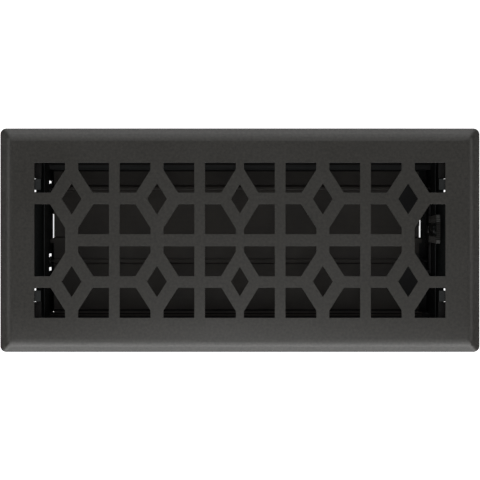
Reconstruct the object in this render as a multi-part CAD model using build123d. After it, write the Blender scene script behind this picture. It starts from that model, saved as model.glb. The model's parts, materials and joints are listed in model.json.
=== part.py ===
from build123d import *

import os
from math import atan2, cos, degrees, radians, sin, sqrt, tan

# Floor register: a stamped steel face with a diamond-and-bar lattice over a folded damper box.
# Two parallel blades close the box. A thumb lever at the right end opens them through a link bar.
# Millimetres. X runs along the face, Y across it and Z up. The floor is at Z = 0.

# Face plate
face_length = 295.0
face_width = 137.6
face_height = 5.0
face_sheet = 1.2
rim_height = 1.4
bevel_width = 5.6
bevel_round = 8.5
rim_corner = 3.7
top_corner = 3.0
hole_edge = 0.12

# Lattice
end_border = 21.415
side_border = 21.15
upright_bar = 6.62
centre_arm = 5.07
side_arm = 8.03
middle_bar = 7.3
cross_bar = 7.0
centre_diamond = (13.75, 22.35)
centre_diamond_hole = (5.4, 8.9)
side_diamond = (15.4, 24.05)
side_diamond_hole = (6.05, 9.5)
diamond_shift = 0.3

# Damper box
box_sheet = 0.6
box_bend = 0.8
box_end_inset = 25.3
box_depth = 55.0
side_flange = 6.0
flare_depth = 24.0
flare_out = 4.2
end_flange = 3.6
corner_flange = 8.0
corner_flange_top = 14.0
ledge_reach = 3.9
stop_reach = 2.4
bead_bend = 0.5
bead_nose = 1.6
bead_slope = 2.0
stop_gap = 0.4

# Lugs, notches and lower flanges of the end plates
lug_inset = 13.35
lug_width = 6.6
lug_reach = 4.4
inner_notch = 1.3
outer_notch = 0.4
notch_depth = 6.5
corner_tab_drop = 3.0
spring_slot_offset = 4.4
spring_slot_shift = -0.6
spring_slot_width = 2.2
spring_slot_height = 15.0
spring_slot_rise = 4.0
left_flange_reach = 3.2
right_flange_reach = 6.6
right_gap_depth = 2.1
boss_radius = 5.0
rear_gap_offsets = (-32.0, -16.4)
front_gap_offsets = (-33.9, -33.0)
right_gap_offsets = (-31.7, -20.3)

# Blades and their pivots
pivot_lift = 15.0
blade_sheet = 0.5
blade_left_gap = 2.6
blade_right_gap = 6.9
blade_short_side = 12.8
blade_long_side = 31.2
lip_rise = 1.0
lip_reach = 4.0
left_lip_tab = 2.2
right_lip_tab = 1.7
lip_gap = 0.3
blade_lap = 1.0
rear_gap = 2.7
blade_bend = 0.45
rod_radius = 1.1
rod_end = 2.6
rib_clearance = 0.05
running_clearance = 0.05
press_clearance = 0.02

# Pivot bushes and push-on clips
bush_radius = 2.2
bush_flange_radius = 3.2
bush_flange = 1.0
bush_tail = 0.6
clip_radius = 3.4
clip_thickness = 0.5
clip_gap = 0.1

# Crank caps
cap_length = 14.8
cap_shoulder = 4.9
cap_top = 2.4
cap_bottom = 1.8
cap_front = -25.0
cap_rear = 5.0
cap_waist_rear = -2.0
cap_waist_front = -15.0
cap_corner = 1.2
slot_clearance = 0.05
crank_wall = 2.0
crank_arm = 6.0
crank_radius = 10.0
crank_rest_angle = 50.0
crank_pin_radius = 1.5

# Link bar and drive pin
link_gap = 0.4
link_thickness = 1.4
link_height = 5.0
drive_pin_radius = 1.4

# Thumb lever
lever_pivot_side = 6.8
lever_pivot_height = -16.0
lever_gap = 0.3
lever_thickness = 1.7
lever_hub = 5.0
lever_pin_radius = 1.6
lever_head_radius = 3.0
lever_head = 0.65
lever_tail_radius = 2.6
lever_tail = 0.5
spacer_radius = 3.5
washer_thickness = 0.3
washer_gap = 0.05
fan_half_angle = 29.5
window_half_angle = 15.5
window_inner = 8.0
pad_radius = 18.0
pad_thickness = 2.5
pad_overhang = 1.2
pad_flat = 2.3
pad_lip = 1.8
pad_root = 1.0
pad_skirt = 1.8
pad_skirt_rise = 0.5
pad_end_angle = 8.5
rib_count = 10
rib_groove = 0.6
rib_depth = 0.5
fork_play = 0.9
fork_wall = 2.2
fork_tip = 1.4

# Places that follow from the sizes above
half_length = face_length / 2 - end_border
half_width = face_width / 2 - side_border
hole_length = (half_length - centre_arm / 2 - 2 * upright_bar - 2 * side_arm) / 5
hole_width = (half_width - middle_bar / 2 - cross_bar) / 2
row_centre = middle_bar / 2 + hole_width + cross_bar / 2
diamond_row = row_centre - diamond_shift
bay = hole_length + upright_bar / 2
bar_centres = [centre_arm / 2 + bay, centre_arm / 2 + 3 * bay + side_arm]
arm_centres = [centre_arm / 2 + 2 * bay + side_arm / 2, centre_arm / 2 + 4 * bay + 1.5 * side_arm]
face_underside = face_height - face_sheet
flange_middle = face_underside - box_sheet / 2
box_half_length = face_length / 2 - box_end_inset
lug_offset = half_width - lug_inset
blade_tip = blade_long_side + lip_reach
box_half_width = (lip_gap + 2 * blade_tip + 2 * blade_short_side - blade_lap + rear_gap) / 2
front_pivot = blade_tip + lip_gap - box_half_width
rear_pivot = front_pivot + blade_short_side - blade_lap + blade_tip
pivot_height = pivot_lift - box_depth
lip_height = pivot_height + lip_rise
blade_left = blade_left_gap - box_half_length
blade_right = box_half_length - blade_right_gap
cap_left = blade_right - cap_length
pad_outer_x = box_half_length + pad_overhang
crank_pin_y = -crank_radius * cos(radians(crank_rest_angle))
crank_pin_z = crank_radius * sin(radians(crank_rest_angle))
link_outer = box_half_length - link_gap
link_inner = link_outer - link_thickness
lever_outer = link_inner - lever_gap
lever_inner = lever_outer - lever_thickness
drive_y = lever_pivot_side + crank_pin_y
drive_z = pivot_height + crank_pin_z
drive_drop = lever_pivot_height - drive_z
lever_lean = degrees(atan2(-crank_pin_y, drive_drop))
drive_reach = sqrt(crank_pin_y**2 + drive_drop**2)
drive_nearest = lever_pivot_height - pivot_height - crank_radius
sides = (1, -1)


def run_x(profile, low, high):
    # A profile drawn as (Y, Z), extruded along X.
    return extrude(Plane.YZ.offset(low) * profile, amount=high - low, dir=(1, 0, 0))


def run_y(profile, low, high):
    # A profile drawn as (X, Z), extruded along Y.
    return extrude(Plane.XZ.offset(-low) * profile, amount=high - low, dir=(0, 1, 0))


def block(low, high):
    size = [b - a for a, b in zip(low, high)]
    return Pos(*low) * Box(*size, align=Align.MIN)


def folded(points, bend, thickness):
    # The section of a folded sheet, from its middle line.
    return trace(FilletPolyline(*points, radius=bend), line_width=thickness)


def rhombus(half_size):
    across, along = half_size
    return Polygon((across, 0), (0, along), (-across, 0), (0, -along))


def lattice_holes():
    # The field of the face less its bars and diamonds, plus the hole in each diamond.
    solid = [Pos(X=s * x) * Rectangle(upright_bar, 2 * half_width) for x in bar_centres for s in sides]
    solid += [Pos(X=s * x) * Rectangle(side_arm, 2 * half_width) for x in arm_centres for s in sides]
    solid += [Rectangle(centre_arm, 2 * half_width)]
    solid += [Rectangle(2 * arm_centres[-1], middle_bar)]
    solid += [Pos(Y=s * row_centre) * Rectangle(2 * half_length, cross_bar) for s in sides]
    pierced = []
    for row in sides:
        solid.append(Pos(Y=row * diamond_row) * rhombus(centre_diamond))
        pierced.append(Pos(Y=row * diamond_row) * rhombus(centre_diamond_hole))
        for x in arm_centres:
            for s in sides:
                solid.append(Pos(s * x, row * diamond_row) * rhombus(side_diamond))
                pierced.append(Pos(s * x, row * diamond_row) * rhombus(side_diamond_hole))
    return Rectangle(2 * half_length, 2 * half_width) - solid + pierced


def face_section(inset, corner, height):
    return Pos(Z=height) * RectangleRounded(face_length - 2 * inset, face_width - 2 * inset, corner)


def make_face_plate():
    slope = (face_height - rim_height) / bevel_width
    drop = face_sheet * sqrt(1 + slope**2)
    pocket_rim = rim_height + face_sheet * slope - drop
    pocket_inset = (face_underside - rim_height + drop) / slope
    outside = extrude(face_section(0, rim_corner, 0), amount=rim_height)
    outside += loft([face_section(0, rim_corner, rim_height),
                     face_section(bevel_width, top_corner, face_height)], ruled=True)
    outside = fillet(outside.faces().sort_by(Axis.Z)[-1].edges(), bevel_round)
    inner_corner = rim_corner - face_sheet
    pocket = extrude(face_section(face_sheet, inner_corner, 0), amount=pocket_rim)
    pocket += loft([face_section(face_sheet, inner_corner, pocket_rim),
                    face_section(pocket_inset, inner_corner, face_underside)], ruled=True)
    plate = outside - pocket - extrude(lattice_holes(), amount=face_height)
    top = plate.faces().sort_by(Axis.Z)[-1]
    hole_edges = [e for wire in top.inner_wires() for e in wire.edges()]
    return chamfer(hole_edges, hole_edge)


def side_wall(side, bead):
    # Folded from the face's underside down to the duct, with one pressed bead.
    middle = box_half_width + box_sheet / 2
    points = [(middle + side_flange, flange_middle), (middle, flange_middle), *bead, (middle, -box_depth)]
    section = folded([(side * y, z) for y, z in points], bead_bend, box_sheet)
    return run_x(section, -box_half_length, box_half_length)


def make_rear_side_wall():
    middle = box_half_width + box_sheet / 2
    nose = box_half_width - ledge_reach + box_sheet / 2
    low = pivot_height + blade_sheet / 2 + stop_gap + box_sheet / 2
    bead = [(middle, low + bead_nose + bead_slope), (nose, low + bead_nose), (nose, low), (middle, low)]
    return side_wall(1, bead)


def make_front_side_wall():
    middle = box_half_width + box_sheet / 2
    nose = box_half_width - stop_reach + box_sheet / 2
    top = lip_height - blade_sheet / 2 - stop_gap - box_sheet / 2
    bead = [(middle, top), (nose, top), (nose, top - bead_nose), (middle, top - bead_nose - bead_slope)]
    return side_wall(-1, bead)


def end_plate(end, lower_flange):
    # Web, flared top and flange in one fold, with a corner flange down each side.
    middle = box_half_length + box_sheet / 2
    outer = middle + flare_out
    points = [(outer + end_flange, flange_middle), (outer, flange_middle), (middle, -flare_depth),
              (middle, -box_depth + box_sheet / 2), (middle - lower_flange, -box_depth + box_sheet / 2)]
    section = folded([(end * x, z) for x, z in points], box_bend, box_sheet)
    plate = run_y(section, -box_half_width, box_half_width)
    web_low, web_high = sorted((end * box_half_length, end * (box_half_length + box_sheet)))
    fold_low, fold_high = sorted((end * (box_half_length - corner_flange), web_high if end > 0 else web_low))
    skin = box_half_width + box_sheet
    plate += block((web_low, -skin, -box_depth + box_bend), (web_high, skin, -corner_flange_top))
    for side in sides:
        near, far = sorted((side * skin, side * (skin + box_sheet)))
        plate += block((fold_low, near, -box_depth + box_bend), (fold_high, far, -corner_flange_top))
        lug_low, lug_high = sorted((end * (outer - lug_reach), end * outer))
        lug_centre = side * lug_offset
        plate += block((lug_low, lug_centre - lug_width / 2, face_underside - box_sheet),
                       (lug_high, lug_centre + lug_width / 2, face_underside))
        for s, width in ((-side, inner_notch), (side, outer_notch)):
            notch = lug_centre + s * (lug_width + width) / 2
            low, high = sorted((end * (middle + box_sheet), end * (outer + end_flange / 2)))
            plate -= block((low, notch - width / 2, face_underside - notch_depth),
                           (high, notch + width / 2, face_height))
        # Past the outer notch the plate is lower, and its edge is folded inwards.
        tab_top = face_underside - corner_tab_drop
        tab_rise = (tab_top - box_sheet / 2 + flare_depth) / (flange_middle + flare_depth)
        tab_low, tab_high = sorted((side * (lug_offset + lug_width / 2 + outer_notch), side * box_half_width))
        low, high = sorted((end * middle, end * (outer + end_flange)))
        plate -= block((low, tab_low, tab_top), (high, tab_high, face_height))
        low, high = sorted((end * (outer - lug_reach), end * (middle + flare_out * tab_rise)))
        plate += block((low, tab_low, tab_top - box_sheet), (high, tab_high, tab_top))
    for pivot in (rear_pivot, front_pivot):
        plate -= run_x(Pos(pivot, pivot_height) * Circle(bush_radius + press_clearance), web_low, web_high)
    return plate


def make_left_end_plate():
    plate = end_plate(-1, left_flange_reach)
    web = (-box_half_length - 2 * box_sheet, -box_half_length + box_sheet)
    top = pivot_height + spring_slot_rise
    for pivot in (rear_pivot, front_pivot):
        for s in sides:
            across = pivot + spring_slot_shift + s * spring_slot_offset
            slot = Pos(across, top - spring_slot_height / 2)
            plate -= run_x(slot * Rectangle(spring_slot_width, spring_slot_height), *web)
    inner = -box_half_length + left_flange_reach
    for pivot, (low, high) in ((rear_pivot, rear_gap_offsets), (front_pivot, front_gap_offsets)):
        plate -= block((-box_half_length, pivot + low, -box_depth),
                       (inner, pivot + high, -box_depth + box_bend))
    return plate


def make_right_end_plate():
    plate = end_plate(1, right_flange_reach)
    edge = box_half_length + box_sheet / 2 - right_flange_reach
    low, high = right_gap_offsets
    plate -= block((edge, rear_pivot + low, -box_depth),
                   (edge + right_gap_depth, rear_pivot + high, -box_depth + box_bend))
    # A flat seat for the lever pin, pressed into the flare.
    middle = box_half_length + box_sheet / 2
    seat = box_half_length + box_sheet
    place = Pos(lever_pivot_side, lever_pivot_height)
    inside = Polygon((box_half_length, -flare_depth), (middle, -flare_depth),
                     (middle + flare_out, flange_middle), (box_half_length, flange_middle))
    boss = run_x(place * Circle(boss_radius), box_half_length, middle + flare_out)
    plate += boss & run_y(inside, lever_pivot_side - boss_radius, lever_pivot_side + boss_radius)
    plate -= run_x(place * Circle(boss_radius - box_sheet), seat, seat + flare_out)
    return plate - run_x(place * Circle(lever_pin_radius + press_clearance), box_half_length, seat)


def pivot_bush(end, pivot):
    bore = Circle(rod_radius + running_clearance)
    seat = box_half_length + box_sheet + bush_tail
    place = Pos(pivot, pivot_height)
    flange = sorted((end * (box_half_length - bush_flange), end * box_half_length))
    barrel = sorted((end * box_half_length, end * seat))
    return run_x(place * (Circle(bush_flange_radius) - bore), *flange) + run_x(
        place * (Circle(bush_radius) - bore), *barrel)


def blade_section(thickness):
    # Flat sheet with a rib arched over the rod and a raised lip on the long side.
    rib = rod_radius + rib_clearance + blade_sheet / 2
    step = blade_long_side + lip_rise
    points = [(blade_short_side, 0), (rib, 0), (rib, rib), (-rib, rib), (-rib, 0),
              (-blade_long_side, 0), (-step, lip_rise), (-blade_tip, lip_rise)]
    bends = [blade_bend, rib - blade_bend, rib - blade_bend, blade_bend, blade_bend, blade_bend]
    return trace(FilletPolyline(*points, radius=bends), line_width=thickness)


def blade(pivot):
    place = Pos(pivot, pivot_height)
    sheet = run_x(place * blade_section(blade_sheet), blade_left, blade_right)
    step = blade_long_side + lip_rise + blade_bend
    lip = Pos(-(step + blade_tip) / 2, lip_rise) * Rectangle(blade_tip - step, blade_sheet)
    return sheet + run_x(place * lip, blade_left - left_lip_tab, blade_right + right_lip_tab)


def rod(pivot):
    end = box_half_length + rod_end
    return run_x(Pos(pivot, pivot_height) * Circle(rod_radius), -end, end)


def rod_clips(pivot):
    ring = Pos(pivot, pivot_height) * (Circle(clip_radius) - Circle(rod_radius + press_clearance))
    near = box_half_length + box_sheet + bush_tail + clip_gap
    far = near + clip_thickness
    return Compound(children=[run_x(ring, near, far), run_x(ring, -far, -near)])


def crank(pivot):
    # A cap that slips over the blade's right end, with an arm and a pin for the link bar.
    place = Pos(pivot, pivot_height)
    wide = cap_left + cap_shoulder
    outline = FilletPolyline((blade_right, cap_rear), (wide, cap_rear), (cap_left, cap_waist_rear),
                             (cap_left, cap_waist_front), (wide, cap_front), (blade_right, cap_front),
                             radius=cap_corner, close=True)
    cap = extrude(Pos(0, pivot, pivot_height - cap_bottom) * make_face(outline), amount=cap_top + cap_bottom)
    slot = Rectangle(2 * (cap_rear - cap_front), blade_sheet + 2 * slot_clearance)
    rib_outer = rod_radius + blade_sheet
    rib_slot = Rectangle(2 * rib_outer + blade_bend, rib_outer + 2 * slot_clearance,
                         align=(Align.CENTER, Align.MIN))
    cap -= run_x(place * (slot + rib_slot), cap_left, blade_right)
    hub = Circle(crank_arm / 2)
    pin = Pos(crank_pin_y, crank_pin_z)
    arm = make_hull([*hub.edges(), *(pin * hub).edges()])
    wall = blade_right + crank_wall
    cap += run_x(place * arm, blade_right, wall)
    cap += run_x(place * pin * Circle(crank_pin_radius), wall, link_outer)
    return cap - run_x(place * Circle(rod_radius + press_clearance), cap_left, wall)


def make_link_bar():
    centre = (rear_pivot + front_pivot) / 2 + crank_pin_y
    bar = Pos(centre, drive_z) * SlotCenterToCenter(rear_pivot - front_pivot, link_height)
    for pivot in (rear_pivot, front_pivot):
        bar -= Pos(pivot + crank_pin_y, drive_z) * Circle(crank_pin_radius + running_clearance)
    bar -= Pos(drive_y, drive_z) * Circle(drive_pin_radius + press_clearance)
    return run_x(bar, link_inner, link_outer)


def make_drive_pin():
    return run_x(Pos(drive_y, drive_z) * Circle(drive_pin_radius), lever_inner, link_outer)


def wedge(half_angle, reach):
    # A triangle up from the lever's pivot that holds every point within that reach.
    high = 2 * reach
    across = high * tan(radians(half_angle))
    return Polygon((0, 0), (across, high), (-across, high))


def make_lever_head():
    # A ribbed pad on two arms, with a window between them.
    inner = pad_radius - pad_thickness
    ramp = pad_outer_x - pad_flat
    skirt = lever_inner - pad_skirt
    head = run_x(Circle(inner) & wedge(fan_half_angle, inner), lever_inner, lever_outer)
    profile = Polygon((lever_inner, inner - pad_root), (lever_outer, inner - pad_root),
                      (pad_outer_x, pad_radius - pad_lip), (pad_outer_x, pad_radius), (ramp, pad_radius),
                      (skirt, inner + pad_skirt_rise), (skirt, inner))
    start = Rot(X=-fan_half_angle) * (Plane.XZ * profile)
    head += revolve(start, Axis.X, 2 * fan_half_angle)
    head -= run_x(wedge(window_half_angle, pad_radius) - Circle(window_inner), skirt, ramp)
    ribbed = fan_half_angle - pad_end_angle
    groove = Pos((ramp + pad_outer_x) / 2, 0, pad_radius) * Box(2 * pad_flat, rib_groove, 2 * rib_depth)
    for k in range(rib_count + 1):
        angle = -ribbed + 2 * ribbed * k / rib_count
        head -= Rot(X=angle) * groove
    return head


def make_thumb_lever():
    fork_slot = 2 * (drive_pin_radius + fork_play)
    fork_width = fork_slot + 2 * fork_wall
    tip = drive_reach + fork_tip
    slot_top = drive_nearest - drive_pin_radius - fork_play
    leg = Circle(lever_hub) + Pos(Y=-tip / 2) * Rectangle(fork_width, tip)
    leg -= Pos(Y=-(slot_top + tip) / 2) * Rectangle(fork_slot, tip - slot_top)
    lever = make_lever_head() + Rot(X=-lever_lean) * run_x(leg, lever_inner, lever_outer)
    lever -= run_x(Circle(lever_pin_radius + running_clearance), lever_inner, lever_outer)
    return Pos(0, lever_pivot_side, lever_pivot_height) * lever


def make_lever_pin():
    # A shouldered rivet, headed inside the lever and set over outside the end plate.
    place = Pos(lever_pivot_side, lever_pivot_height)
    head_face = lever_inner - washer_thickness - washer_gap
    plate_face = box_half_length + box_sheet
    pin = run_x(place * Circle(lever_head_radius), head_face - lever_head, head_face)
    pin += run_x(place * Circle(lever_pin_radius), head_face, plate_face)
    return pin + run_x(place * Circle(lever_tail_radius), plate_face, plate_face + lever_tail)


def lever_ring(radius, low, high):
    ring = Circle(radius) - Circle(lever_pin_radius + press_clearance)
    return run_x(Pos(lever_pivot_side, lever_pivot_height) * ring, low, high)


parts = {
    "face_plate": make_face_plate(),
    "rear_side_wall": make_rear_side_wall(),
    "front_side_wall": make_front_side_wall(),
    "left_end_plate": make_left_end_plate(),
    "right_end_plate": make_right_end_plate(),
    "link_bar": make_link_bar(),
    "drive_pin": make_drive_pin(),
    "thumb_lever": make_thumb_lever(),
    "lever_pin": make_lever_pin(),
    "lever_spacer": lever_ring(spacer_radius, lever_outer + washer_gap, box_half_length),
    "friction_washer": lever_ring(lever_head_radius, lever_inner - washer_thickness - washer_gap,
                                  lever_inner - washer_gap),
}
for name, pivot in (("rear", rear_pivot), ("front", front_pivot)):
    parts[f"left_{name}_bush"] = pivot_bush(-1, pivot)
    parts[f"right_{name}_bush"] = pivot_bush(1, pivot)
    parts[f"{name}_blade"] = blade(pivot)
    parts[f"{name}_rod"] = rod(pivot)
    parts[f"{name}_rod_clips"] = rod_clips(pivot)
    parts[f"{name}_crank"] = crank(pivot)

os.makedirs("parts", exist_ok=True)
for name, part in parts.items():
    export_step(part, f"parts/{name}.step")
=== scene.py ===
import json
import math

import bpy
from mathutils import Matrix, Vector


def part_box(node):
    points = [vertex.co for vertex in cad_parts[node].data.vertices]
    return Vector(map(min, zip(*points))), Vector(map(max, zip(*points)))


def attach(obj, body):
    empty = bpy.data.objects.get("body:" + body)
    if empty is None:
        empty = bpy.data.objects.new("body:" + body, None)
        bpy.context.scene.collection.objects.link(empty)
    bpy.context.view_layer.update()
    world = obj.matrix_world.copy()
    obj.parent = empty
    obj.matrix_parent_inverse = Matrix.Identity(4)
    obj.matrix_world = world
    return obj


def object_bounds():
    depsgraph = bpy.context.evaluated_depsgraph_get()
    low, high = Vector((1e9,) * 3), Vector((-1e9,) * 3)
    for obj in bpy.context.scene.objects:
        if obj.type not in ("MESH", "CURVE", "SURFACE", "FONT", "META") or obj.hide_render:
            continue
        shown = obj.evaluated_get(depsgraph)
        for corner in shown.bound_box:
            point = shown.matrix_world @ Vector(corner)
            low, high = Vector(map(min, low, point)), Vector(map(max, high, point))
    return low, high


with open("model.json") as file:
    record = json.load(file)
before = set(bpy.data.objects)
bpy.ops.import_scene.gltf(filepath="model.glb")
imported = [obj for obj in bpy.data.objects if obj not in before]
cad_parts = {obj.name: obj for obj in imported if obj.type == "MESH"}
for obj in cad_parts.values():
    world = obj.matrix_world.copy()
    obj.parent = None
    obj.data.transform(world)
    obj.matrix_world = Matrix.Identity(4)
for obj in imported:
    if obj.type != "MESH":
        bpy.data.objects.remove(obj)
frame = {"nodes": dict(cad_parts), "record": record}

# Steel floor register seen straight from above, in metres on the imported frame
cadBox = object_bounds()
nodes = frame["nodes"]
mm = 0.001
noiseLow, noiseHigh = 0.3, 0.7  # the part of 0 to 1 that a noise texture really fills
mixFactor, mixFirst, mixSecond, mixResult = 0, 6, 7, 2  # a colour Mix node's sockets, which share their names
print("frame loaded,", len(nodes), "nodes")


def linear(hexCode):
    # sRGB hex to the linear colour that a socket takes
    channels = [int(hexCode[k:k + 2], 16) / 255 for k in (1, 3, 5)]
    return [c / 12.92 if c <= 0.04045 else ((c + 0.055) / 1.055) ** 2.4 for c in channels] + [1]


def addNode(tree, kind, settings, inputs):
    # a plain value goes on the socket, another node's output is linked to it
    node = tree.nodes.new(kind)
    for name, value in settings.items():
        setattr(node, name, value)
    for name, value in inputs.items():
        if isinstance(value, bpy.types.NodeSocket):
            tree.links.new(value, node.inputs[name])
        else:
            node.inputs[name].default_value = value
    return node


def newMaterial(name):
    material = bpy.data.materials.new(name)
    material.use_nodes = True
    material.node_tree.nodes.clear()
    return material, material.node_tree


def setRamp(ramp, *stops):
    # ramp stops as (place, hex colour), two to a ramp
    for element, (place, hexCode) in zip(ramp.color_ramp.elements, stops):
        element.position = place
        element.color = linear(hexCode)


def dress(material, *names):
    for name in names:
        slots = nodes[name].data.materials
        slots.clear()
        slots.append(material)


# Powder coat, cured on pressed steel: a dark warm grey with a fine even tooth that spreads the highlights.
# The real tooth is about 0.3 mm; it is drawn at 1.6 mm so that it shows. The sheet under it sinks a little
# towards its near side, as pressed sheet does, which brightens the last 20 mm of the face there.
coat = {
    "dark": "#2D2C29", "light": "#3E3C38", "index": 1.65,
    "tooth": 1.6 * mm, "patch": 45 * mm,
    "roughLow": 0.29, "roughHigh": 0.35,
    "bump": 0.3, "bumpDepth": 0.1 * mm,
    "sinkFrom": -37.5 * mm, "sinkTo": -71.5 * mm, "sink": 1.9 * mm, "sinkPower": 3,
}


def makePowderCoat():
    material, tree = newMaterial("powderCoatedSteel")
    place = addNode(tree, "ShaderNodeTexCoord", {}, {})
    tooth = addNode(tree, "ShaderNodeTexNoise", {}, {
        "Vector": place.outputs["Object"], "Scale": 1 / coat["tooth"], "Detail": 2, "Roughness": 0.55})
    patch = addNode(tree, "ShaderNodeTexNoise", {}, {
        "Vector": place.outputs["Object"], "Scale": 1 / coat["patch"], "Detail": 3})
    tone = addNode(tree, "ShaderNodeValToRGB", {}, {"Fac": tooth.outputs["Fac"]})
    setRamp(tone, (noiseLow, coat["dark"]), (noiseHigh, coat["light"]))
    rough = addNode(tree, "ShaderNodeMapRange", {}, {
        "Value": patch.outputs["Fac"], "From Min": noiseLow, "From Max": noiseHigh,
        "To Min": coat["roughLow"], "To Max": coat["roughHigh"]})
    spot = addNode(tree, "ShaderNodeSeparateXYZ", {}, {"Vector": place.outputs["Object"]})
    near = addNode(tree, "ShaderNodeMapRange", {}, {
        "Value": spot.outputs["Y"], "From Min": coat["sinkFrom"], "From Max": coat["sinkTo"]})
    sink = addNode(tree, "ShaderNodeMath", {"operation": "POWER"}, {
        0: near.outputs["Result"], 1: coat["sinkPower"]})
    sheet = addNode(tree, "ShaderNodeBump", {"invert": True}, {
        "Strength": 1, "Distance": coat["sink"], "Height": sink.outputs[0]})
    bump = addNode(tree, "ShaderNodeBump", {}, {
        "Strength": coat["bump"], "Distance": coat["bumpDepth"], "Height": tooth.outputs["Fac"],
        "Normal": sheet.outputs["Normal"]})
    shader = addNode(tree, "ShaderNodeBsdfPrincipled", {}, {
        "Base Color": tone.outputs["Color"], "Roughness": rough.outputs["Result"],
        "IOR": coat["index"], "Normal": bump.outputs["Normal"]})
    addNode(tree, "ShaderNodeOutputMaterial", {}, {"Surface": shader.outputs["BSDF"]})
    return material


# Sprayed sheet: thin satin paint that lets the mill's rolling lines show, with settled dust in soft patches.
# The real lines are about 0.1 mm apart; they are drawn at 1.5 mm so that they show.
boxPaint = {
    "name": "satinPaintedBoxSheet", "dark": "#101414", "light": "#181B1B", "index": 1.5,
    "roll": 1.5 * mm, "rollStretch": 0.03, "patch": 30 * mm, "dustLow": 0.32, "dustHigh": 0.68,
    "roughLow": 0.38, "roughHigh": 0.52, "bump": 0.06, "bumpDepth": 0.05 * mm,
}
# The end plates' corner tabs, the root of the rear wall's ledge and the blades' folds along the side walls are
# painted dark and matt: painted shade, standing in for the shade that falls in these recesses.
# Creases are (place across the box, half width).
paintedRecessShade = {"dark": "#080706", "light": "#0F0D0C", "rough": 0.95}
endPaint = {
    **boxPaint, "name": "satinPaintedEndSheet",
    # painted shade on the corner tabs, which lie deeper in the box's shadow than the lugs
    "tabs": {"height": 0.4 * mm, "reach": 0.9 * mm, "from": 38 * mm},
}
# Painted shade: the side walls take the box paint painted darker, with a dark line at the root of the rear wall's
# ledge.
shadedWallPaint = {  # duller and darker than the end plates
    **boxPaint, "name": "satinPaintedWallSheet", "dark": "#0A0D0D", "light": "#101212",
    "roughLow": 0.62, "roughHigh": 0.76,
    "creases": ((48.55 * mm, 0.4 * mm),),
}
bladePaint = {  # the lightest of the sheets, a warm grey
    **boxPaint, "name": "satinPaintedBladeSheet", "dark": "#302C29", "light": "#3C3833",
    "patch": 25 * mm, "roughLow": 0.42, "roughHigh": 0.56,
    # painted shade: dark matt lines along the blades' folds, where shade falls by the side walls
    "creases": ((44.8 * mm, 0.55 * mm), (-45 * mm, 0.65 * mm), (-47.2 * mm, 0.35 * mm)),
}


def findPaintedShade(tree, place, paint):
    # 1 in the creases and on the tabs, where the painted shade goes, 0 elsewhere
    spot = addNode(tree, "ShaderNodeSeparateXYZ", {}, {"Vector": place.outputs["Object"]})
    marks = []
    for across, half in paint.get("creases", ()):
        marks.append(addNode(tree, "ShaderNodeMath", {"operation": "COMPARE"}, {
            0: spot.outputs["Y"], 1: across, 2: half}))
    if "tabs" in paint:
        tabs = paint["tabs"]
        level = addNode(tree, "ShaderNodeMath", {"operation": "COMPARE"}, {
            0: spot.outputs["Z"], 1: tabs["height"], 2: tabs["reach"]})
        off = addNode(tree, "ShaderNodeMath", {"operation": "ABSOLUTE"}, {0: spot.outputs["Y"]})
        corner = addNode(tree, "ShaderNodeMath", {"operation": "GREATER_THAN"}, {
            0: off.outputs[0], 1: tabs["from"]})
        marks.append(addNode(tree, "ShaderNodeMath", {"operation": "MULTIPLY"}, {
            0: level.outputs[0], 1: corner.outputs[0]}))
    found = marks[0]
    for mark in marks[1:]:
        found = addNode(tree, "ShaderNodeMath", {"operation": "MAXIMUM"}, {
            0: found.outputs[0], 1: mark.outputs[0]})
    return found.outputs[0]


def makeSheetPaint(paint):
    material, tree = newMaterial(paint["name"])
    place = addNode(tree, "ShaderNodeTexCoord", {}, {})
    along = addNode(tree, "ShaderNodeMapping", {}, {
        "Vector": place.outputs["Object"], "Scale": (paint["rollStretch"], 1, 1)})
    rolling = addNode(tree, "ShaderNodeTexNoise", {}, {
        "Vector": along.outputs["Vector"], "Scale": 1 / paint["roll"], "Detail": 3})
    dust = addNode(tree, "ShaderNodeTexNoise", {}, {
        "Vector": place.outputs["Object"], "Scale": 1 / paint["patch"], "Detail": 5, "Roughness": 0.6})
    tone = addNode(tree, "ShaderNodeValToRGB", {}, {"Fac": dust.outputs["Fac"]})
    setRamp(tone, (paint["dustLow"], paint["dark"]), (paint["dustHigh"], paint["light"]))
    rough = addNode(tree, "ShaderNodeMapRange", {}, {
        "Value": rolling.outputs["Fac"], "From Min": noiseLow, "From Max": noiseHigh,
        "To Min": paint["roughLow"], "To Max": paint["roughHigh"]})
    colour, dullness = tone.outputs["Color"], rough.outputs["Result"]
    # painted shade: the creases and tabs take a darker, matt tone where shade falls
    if "tabs" in paint or "creases" in paint:
        paintedShadeMask = findPaintedShade(tree, place, paint)
        paintedShadeTone = addNode(tree, "ShaderNodeValToRGB", {}, {"Fac": dust.outputs["Fac"]})
        setRamp(paintedShadeTone, (paint["dustLow"], paintedRecessShade["dark"]), (paint["dustHigh"], paintedRecessShade["light"]))
        mixed = addNode(tree, "ShaderNodeMix", {"data_type": "RGBA"}, {
            mixFactor: paintedShadeMask, mixFirst: colour, mixSecond: paintedShadeTone.outputs["Color"]})
        matt = addNode(tree, "ShaderNodeMath", {"operation": "MULTIPLY"}, {0: paintedShadeMask, 1: paintedRecessShade["rough"]})
        duller = addNode(tree, "ShaderNodeMath", {"operation": "MAXIMUM"}, {0: dullness, 1: matt.outputs[0]})
        colour, dullness = mixed.outputs[mixResult], duller.outputs[0]
    bump = addNode(tree, "ShaderNodeBump", {}, {
        "Strength": paint["bump"], "Distance": paint["bumpDepth"], "Height": rolling.outputs["Fac"]})
    shader = addNode(tree, "ShaderNodeBsdfPrincipled", {}, {
        "Base Color": colour, "Roughness": dullness, "IOR": paint["index"], "Normal": bump.outputs["Normal"]})
    addNode(tree, "ShaderNodeOutputMaterial", {}, {"Surface": shader.outputs["BSDF"]})
    return material


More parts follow.
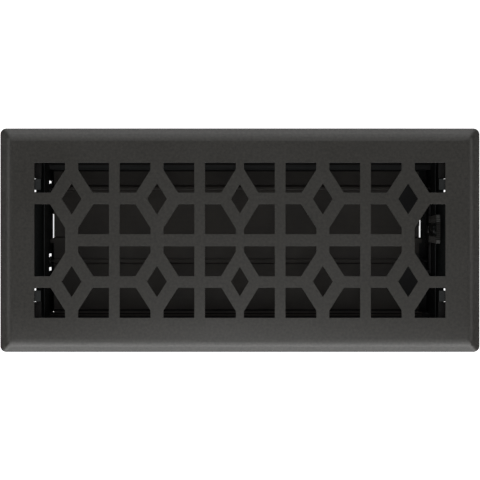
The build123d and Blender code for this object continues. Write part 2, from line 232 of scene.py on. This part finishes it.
# Moulded acetal: near-black with a faint spark-eroded grain and a soft sheen.
# The real grain is under 0.1 mm; it is drawn at 0.5 mm so that it shows up close.
acetal = {
    "name": "mouldedAcetal", "dark": "#161617", "light": "#202021", "index": 1.48, "shine": 0.5,
    "grain": 0.5 * mm, "flow": 9 * mm,
    "roughLow": 0.40, "roughHigh": 0.52, "bump": 0.12, "bumpDepth": 0.05 * mm,
}
# The thumb lever comes from a blasted mould: dull near-black, with the stops at its pad's ends painted paler: painted
# light, standing in for the shade that darkens the ribs between them.
leverAcetal = {
    **acetal, "name": "mouldedLeverAcetal", "dark": "#171614", "light": "#211F1D", "shine": 0.22,
    "roughLow": 0.6, "roughHigh": 0.72,
    "stops": {"dark": "#3C3C3B", "light": "#484846", "padWidth": 2.3 * mm, "ribReach": 5.6 * mm},
}


def findPaintedLightEnds(tree, place, stops):
    # 1 on the pad's two ends beyond its ribs, where the painted light goes, 0 elsewhere
    low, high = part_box("thumb_lever")
    spot = addNode(tree, "ShaderNodeSeparateXYZ", {}, {"Vector": place.outputs["Object"]})
    pad = addNode(tree, "ShaderNodeMath", {"operation": "GREATER_THAN"}, {
        0: spot.outputs["X"], 1: high[0] - stops["padWidth"]})
    along = addNode(tree, "ShaderNodeMath", {"operation": "SUBTRACT"}, {
        0: spot.outputs["Y"], 1: (low[1] + high[1]) / 2})
    out = addNode(tree, "ShaderNodeMath", {"operation": "ABSOLUTE"}, {0: along.outputs[0]})
    ended = addNode(tree, "ShaderNodeMath", {"operation": "GREATER_THAN"}, {
        0: out.outputs[0], 1: stops["ribReach"]})
    found = addNode(tree, "ShaderNodeMath", {"operation": "MULTIPLY"}, {0: pad.outputs[0], 1: ended.outputs[0]})
    return found.outputs[0]


def makeAcetal(plastic):
    material, tree = newMaterial(plastic["name"])
    place = addNode(tree, "ShaderNodeTexCoord", {}, {})
    grain = addNode(tree, "ShaderNodeTexNoise", {}, {
        "Vector": place.outputs["Object"], "Scale": 1 / plastic["grain"], "Detail": 2})
    flow = addNode(tree, "ShaderNodeTexNoise", {}, {
        "Vector": place.outputs["Object"], "Scale": 1 / plastic["flow"], "Detail": 3})
    tone = addNode(tree, "ShaderNodeValToRGB", {}, {"Fac": flow.outputs["Fac"]})
    setRamp(tone, (noiseLow, plastic["dark"]), (noiseHigh, plastic["light"]))
    colour = tone.outputs["Color"]
    # painted light: the pad's ends take a paler tone than its ribs
    if "stops" in plastic:
        stops = plastic["stops"]
        paintedLightTone = addNode(tree, "ShaderNodeValToRGB", {}, {"Fac": flow.outputs["Fac"]})
        setRamp(paintedLightTone, (noiseLow, stops["dark"]), (noiseHigh, stops["light"]))
        mixed = addNode(tree, "ShaderNodeMix", {"data_type": "RGBA"}, {
            mixFactor: findPaintedLightEnds(tree, place, stops), mixFirst: colour, mixSecond: paintedLightTone.outputs["Color"]})
        colour = mixed.outputs[mixResult]
    rough = addNode(tree, "ShaderNodeMapRange", {}, {
        "Value": grain.outputs["Fac"], "From Min": noiseLow, "From Max": noiseHigh,
        "To Min": plastic["roughLow"], "To Max": plastic["roughHigh"]})
    bump = addNode(tree, "ShaderNodeBump", {}, {
        "Strength": plastic["bump"], "Distance": plastic["bumpDepth"], "Height": grain.outputs["Fac"]})
    shader = addNode(tree, "ShaderNodeBsdfPrincipled", {}, {
        "Base Color": colour, "Roughness": rough.outputs["Result"], "IOR": plastic["index"],
        "Specular IOR Level": plastic["shine"], "Normal": bump.outputs["Normal"]})
    addNode(tree, "ShaderNodeOutputMaterial", {}, {"Surface": shader.outputs["BSDF"]})
    return material


# Black-oxide steel: blue-black skin on drawn wire, oily in places, with a dull bloom that breaks up its shine.
oxide = {"dark": "#2B2B2C", "light": "#434240", "bloom": 3 * mm, "roughLow": 0.32, "roughHigh": 0.5}


def makeOxideSteel():
    material, tree = newMaterial("blackOxideSteel")
    place = addNode(tree, "ShaderNodeTexCoord", {}, {})
    bloom = addNode(tree, "ShaderNodeTexNoise", {}, {
        "Vector": place.outputs["Object"], "Scale": 1 / oxide["bloom"], "Detail": 4, "Roughness": 0.6})
    tone = addNode(tree, "ShaderNodeValToRGB", {}, {"Fac": bloom.outputs["Fac"]})
    setRamp(tone, (noiseLow, oxide["dark"]), (noiseHigh, oxide["light"]))
    rough = addNode(tree, "ShaderNodeMapRange", {}, {
        "Value": bloom.outputs["Fac"], "From Min": noiseLow, "From Max": noiseHigh,
        "To Min": oxide["roughHigh"], "To Max": oxide["roughLow"]})
    shader = addNode(tree, "ShaderNodeBsdfPrincipled", {}, {
        "Base Color": tone.outputs["Color"], "Roughness": rough.outputs["Result"], "Metallic": 1})
    addNode(tree, "ShaderNodeOutputMaterial", {}, {"Surface": shader.outputs["BSDF"]})
    return material


finishes = {
    "face_coat": makePowderCoat(),
    "box_paint": makeSheetPaint(boxPaint),
    "blade_paint": makeSheetPaint(bladePaint),
    "black_plastic": makeAcetal(acetal),
    "dark_steel": makeOxideSteel(),
}
for part in frame["record"]["subparts"]:
    dress(finishes[part["material_slot"]], part["node"])
dress(makeAcetal(leverAcetal), "thumb_lever")
dress(makeSheetPaint(endPaint), "left_end_plate", "right_end_plate")
dress(makeSheetPaint(shadedWallPaint), "rear_side_wall", "front_side_wall")


# Spot welds that hold the box's corners: shallow dished rings under the paint, on the outer corner flanges.
welds = {
    "radius": 2.3 * mm, "slope": 0.5 * mm, "rim": 0.4 * mm, "rise": 0.14 * mm, "dish": 0.09 * mm,
    "across": 118.2 * mm, "heights": (-20 * mm, -34 * mm, -48 * mm),
    "sides": 32, "smoothBelow": math.radians(40),
}


def makeWeld(across, face, height, side):
    bpy.ops.object.select_all(action="DESELECT")
    bpy.ops.mesh.primitive_circle_add(
        vertices=welds["sides"], radius=welds["radius"], fill_type="NGON",
        location=(across, face, height), rotation=(-side * math.pi / 2, 0, 0))
    weld = bpy.context.object
    bpy.ops.object.mode_set(mode="EDIT")
    bpy.ops.mesh.select_all(action="SELECT")
    bpy.ops.mesh.inset(thickness=welds["slope"], depth=welds["rise"])
    bpy.ops.mesh.inset(thickness=welds["rim"], depth=0)
    bpy.ops.mesh.inset(thickness=welds["slope"], depth=-welds["dish"])
    bpy.ops.object.mode_set(mode="OBJECT")
    return weld


def makeCornerWelds():
    low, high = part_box("left_end_plate")
    marks = []
    for face, side in ((low[1], -1), (high[1], 1)):
        for across in (-welds["across"], welds["across"]):
            for height in welds["heights"]:
                marks.append(makeWeld(across, face, height, side))
    bpy.ops.object.select_all(action="DESELECT")
    for mark in marks:
        mark.select_set(True)
    bpy.context.view_layer.objects.active = marks[0]
    bpy.ops.object.join()
    cornerWelds = bpy.context.object
    cornerWelds.name = "cornerSpotWelds"
    bpy.ops.object.transform_apply(location=True, rotation=True, scale=True)
    bpy.ops.object.shade_smooth_by_angle(angle=welds["smoothBelow"])
    cornerWelds.data.materials.append(finishes["box_paint"])
    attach(cornerWelds, "register_frame")
    print("spot welds", len(marks))


makeCornerWelds()


def markSeen(tree, mirrored):
    # 1 for the camera, straight or through glass, and for gloss where mirrored is 1
    path = addNode(tree, "ShaderNodeLightPath", {}, {})
    gloss = addNode(tree, "ShaderNodeMath", {"operation": "MULTIPLY"}, {
        0: path.outputs["Is Glossy Ray"], 1: mirrored})
    seen = addNode(tree, "ShaderNodeMath", {"operation": "MAXIMUM"}, {
        0: path.outputs["Is Camera Ray"], 1: gloss.outputs[0]})
    through = addNode(tree, "ShaderNodeMath", {"operation": "MAXIMUM"}, {
        0: seen.outputs[0], 1: path.outputs["Is Transmission Ray"]})
    return through.outputs[0]


# Pale matt floor: white to the camera, with the shadow kept. Reflections show it too, except from under the
# register, where the floor lies in the dark.
floorSheet = {
    "reach": 12, "covered": cadBox[1],
    "paint": "#E2E2E2", "speck": "#E6E6E6", "mottle": 1 / 6, "mottleLow": 0.2, "mottleHigh": 0.8,
    "glow": "#F3F3F3",
}


def makeFloor():
    material, tree = newMaterial("whiteStudioFloor")
    place = addNode(tree, "ShaderNodeTexCoord", {}, {})
    mottle = addNode(tree, "ShaderNodeTexNoise", {}, {
        "Vector": place.outputs["Object"], "Scale": 1 / floorSheet["mottle"]})
    tone = addNode(tree, "ShaderNodeValToRGB", {}, {"Fac": mottle.outputs["Fac"]})
    setRamp(tone, (floorSheet["mottleLow"], floorSheet["paint"]), (floorSheet["mottleHigh"], floorSheet["speck"]))
    spot = addNode(tree, "ShaderNodeSeparateXYZ", {}, {"Vector": place.outputs["Object"]})
    beside = []
    for axis, reach in zip("XY", floorSheet["covered"]):
        off = addNode(tree, "ShaderNodeMath", {"operation": "ABSOLUTE"}, {0: spot.outputs[axis]})
        past = addNode(tree, "ShaderNodeMath", {"operation": "GREATER_THAN"}, {0: off.outputs[0], 1: reach})
        beside.append(past.outputs[0])
    bare = addNode(tree, "ShaderNodeMath", {"operation": "MAXIMUM"}, {0: beside[0], 1: beside[1]})
    matt = addNode(tree, "ShaderNodeBsdfDiffuse", {}, {"Color": tone.outputs["Color"]})
    light = addNode(tree, "ShaderNodeEmission", {}, {
        "Color": linear(floorSheet["glow"]), "Strength": markSeen(tree, bare.outputs[0])})
    both = addNode(tree, "ShaderNodeAddShader", {}, {0: matt.outputs["BSDF"], 1: light.outputs["Emission"]})
    addNode(tree, "ShaderNodeOutputMaterial", {}, {"Surface": both.outputs["Shader"]})
    bpy.ops.object.select_all(action="DESELECT")
    bpy.ops.mesh.primitive_plane_add(size=floorSheet["reach"], location=(0, 0, cadBox[0][2]))
    floor = bpy.context.object
    floor.name = "studioFloor"
    bpy.ops.object.transform_apply(location=True, rotation=True, scale=True)
    floor.data.materials.append(material)


makeFloor()

# Soft studio light: strips on the near side at four heights and on the far side at three, strongest low down
# and on the near side, weak ones at the ends, and a small one overhead that lifts the middle of the face.
longStrip, endStrip, smallStrip = (1.6, 0.42), (1, 0.42), (0.29, 0.4)
panels = {
    "nearLowStrip": {"size": longStrip, "place": (0, -1.141, 0.371), "watts": 6.2},
    "nearMidStrip": {"size": longStrip, "place": (0, -0.919, 0.771), "watts": 3.4},
    "nearHighStrip": {"size": longStrip, "place": (0, -0.563, 1.06), "watts": 1.4},
    "nearTopStrip": {"size": longStrip, "place": (0, -0.29, 1.164), "watts": 0.38},
    "farLowStrip": {"size": longStrip, "place": (0, 1.141, 0.371), "watts": 2.7},
    "farMidStrip": {"size": longStrip, "place": (0, 0.919, 0.771), "watts": 1.95},
    "farHighStrip": {"size": longStrip, "place": (0, 0.563, 1.06), "watts": 1.45},
    "leftStrip": {"size": endStrip, "place": (-0.919, 0, 0.771), "watts": 1.15},
    "rightStrip": {"size": endStrip, "place": (0.919, 0, 0.771), "watts": 0.9},
    "overheadStrip": {"size": smallStrip, "place": (0, -0.278, 1.116), "watts": 0.35},
}


def hangPanel(name, panel):
    data = bpy.data.lights.new(name, "AREA")
    data.shape = "RECTANGLE"
    data.size, data.size_y = panel["size"]
    data.energy = panel["watts"]
    lamp = bpy.data.objects.new(name, data)
    lamp.location = panel["place"]
    lamp.rotation_euler = (-Vector(panel["place"])).to_track_quat("-Z", "Y").to_euler()  # faces the register
    bpy.context.scene.collection.objects.link(lamp)


for name, panel in panels.items():
    hangPanel(name, panel)

# A dim room fills the shadows. The camera sees it pale, so that low views stay light beyond the floor, and so
# does gloss near the horizon. Higher up it stays dark in gloss, because the photograph's face mirrors a dark ceiling.
room = {"colour": "#F4F5F7", "fill": 0.06, "seen": 0.94, "horizon": math.sin(math.radians(4))}


def makeRoom():
    world = bpy.data.worlds.new("studioRoom")
    bpy.context.scene.world = world
    world.use_nodes = True
    tree = world.node_tree
    tree.nodes.clear()
    place = addNode(tree, "ShaderNodeTexCoord", {}, {})
    spot = addNode(tree, "ShaderNodeSeparateXYZ", {}, {"Vector": place.outputs["Generated"]})
    low = addNode(tree, "ShaderNodeMath", {"operation": "LESS_THAN"}, {
        0: spot.outputs["Z"], 1: room["horizon"]})
    level = addNode(tree, "ShaderNodeMath", {"operation": "MULTIPLY_ADD"}, {
        0: markSeen(tree, low.outputs[0]), 1: room["seen"], 2: room["fill"]})
    sky = addNode(tree, "ShaderNodeBackground", {}, {
        "Color": linear(room["colour"]), "Strength": level.outputs[0]})
    addNode(tree, "ShaderNodeOutputWorld", {}, {"Surface": sky.outputs["Background"]})


makeRoom()
print("floor and", len(panels), "light panels")

# The photograph looks straight down, with the face's long side across the picture
view = {"place": (0.06 * mm, 0.13 * mm, 905 * mm), "lens": 110.07, "sensor": 36}
camera = bpy.data.cameras.new("topCamera")
camera.lens = view["lens"]
camera.sensor_width = view["sensor"]
cameraStand = bpy.data.objects.new("topCamera", camera)
cameraStand.location = view["place"]
bpy.context.scene.collection.objects.link(cameraStand)
bpy.context.scene.camera = cameraStand
bpy.context.scene.view_settings.view_transform = "Standard"
print("camera set")
